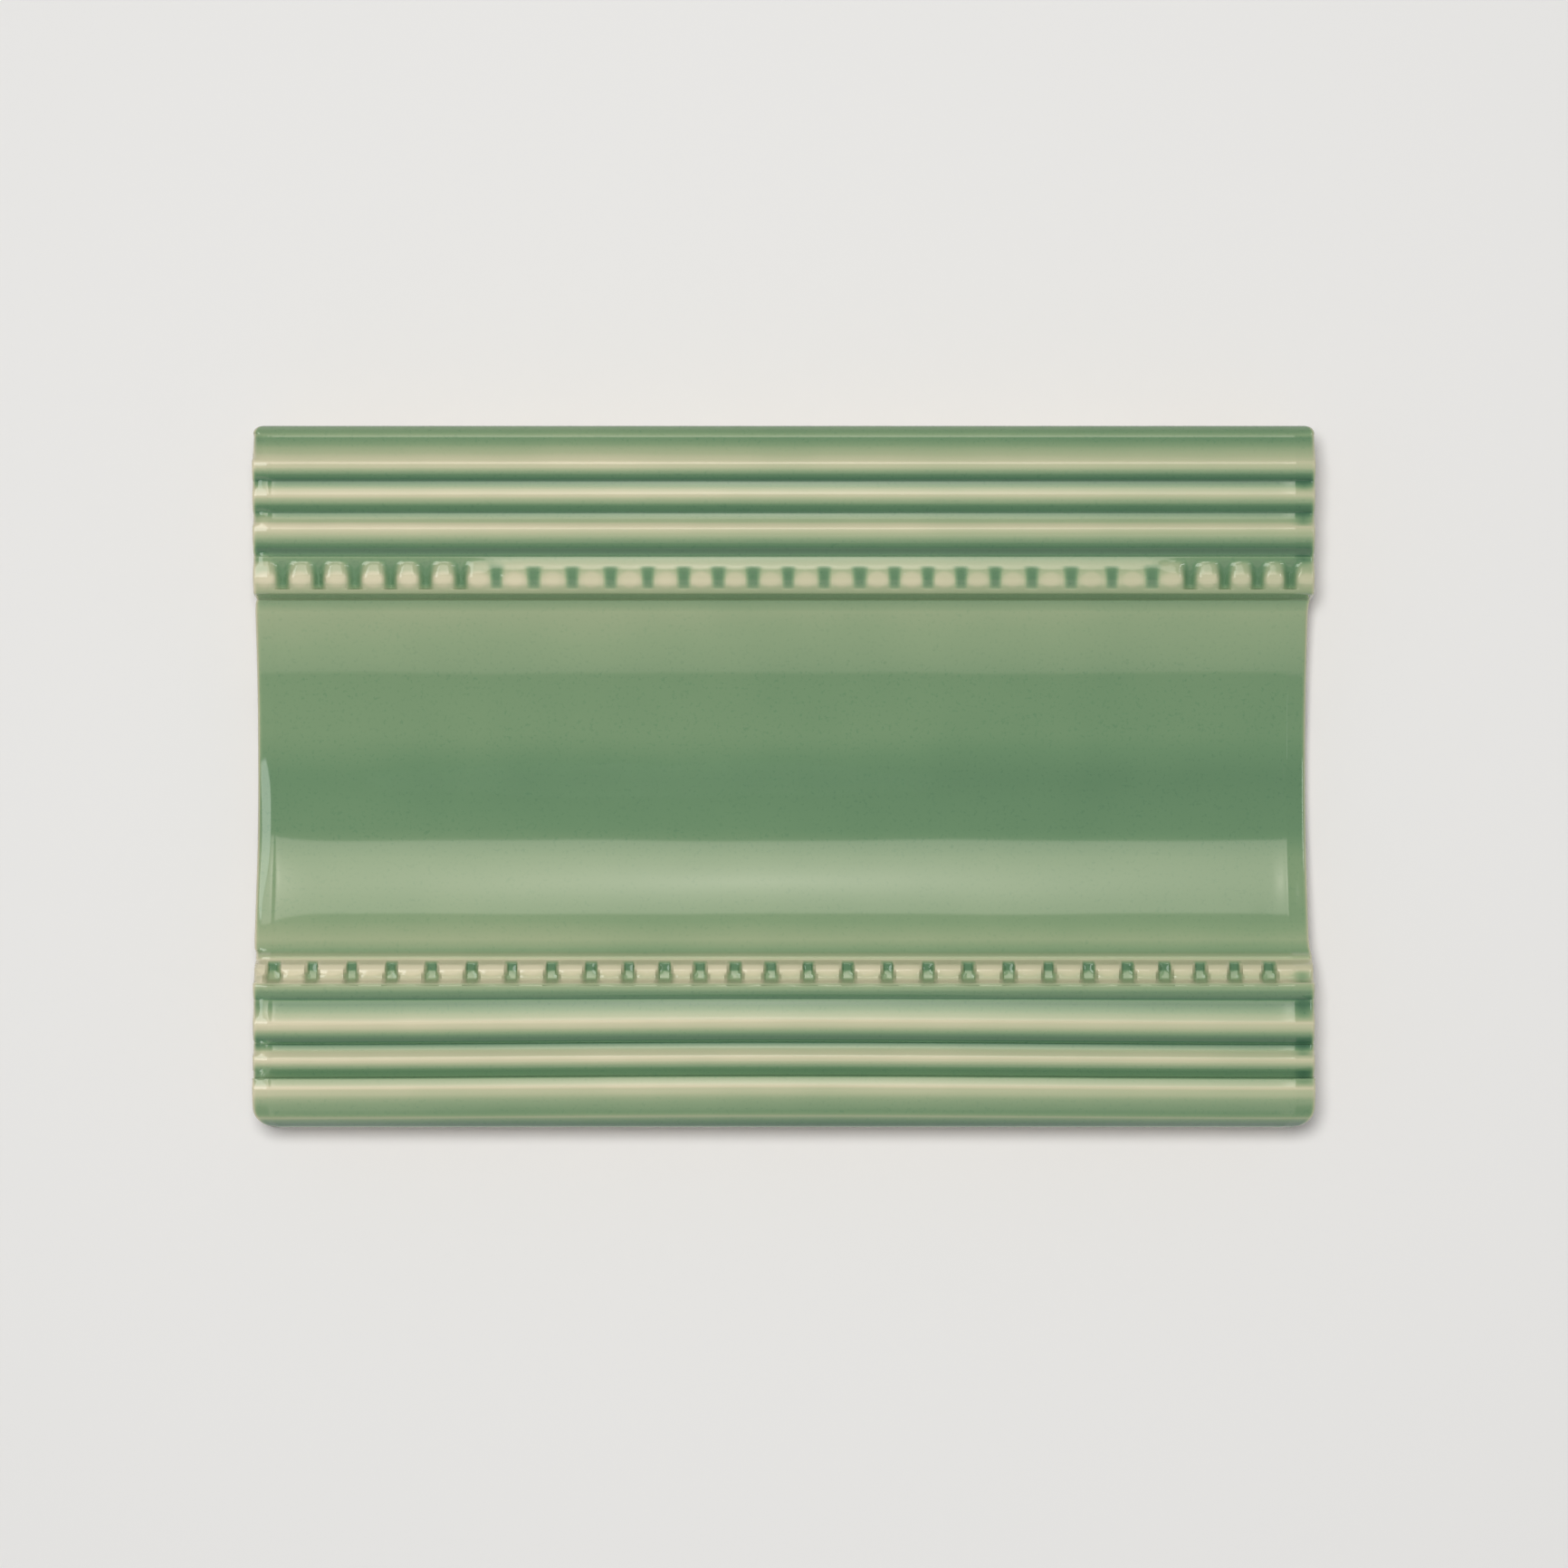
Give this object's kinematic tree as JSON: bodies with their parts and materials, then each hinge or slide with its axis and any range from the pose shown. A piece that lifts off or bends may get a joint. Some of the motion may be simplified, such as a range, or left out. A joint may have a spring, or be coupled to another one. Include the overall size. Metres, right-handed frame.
{
  "type": "cornice trim tile",
  "caption": "Glazed ceramic cornice trim tile with a hollow cove between reeded mouldings and beaded ribs, flat back for adhesive.",
  "frame": {"origin": "middle of the flat back face, in the plane of the wall", "axes": "+X along the course, +Y up the wall towards the edge with the three reeds, +Z out of the wall"},
  "size_m": [0.1524, 0.101, 0.0218],
  "materials": {
    "glaze": "translucent celadon green gloss glaze, cream where it thins on crests and arrises; back is bare biscuit"
  },
  "bodies": {
    "root": {"cornice_tile": "glaze"}
  },
  "joints": []
}
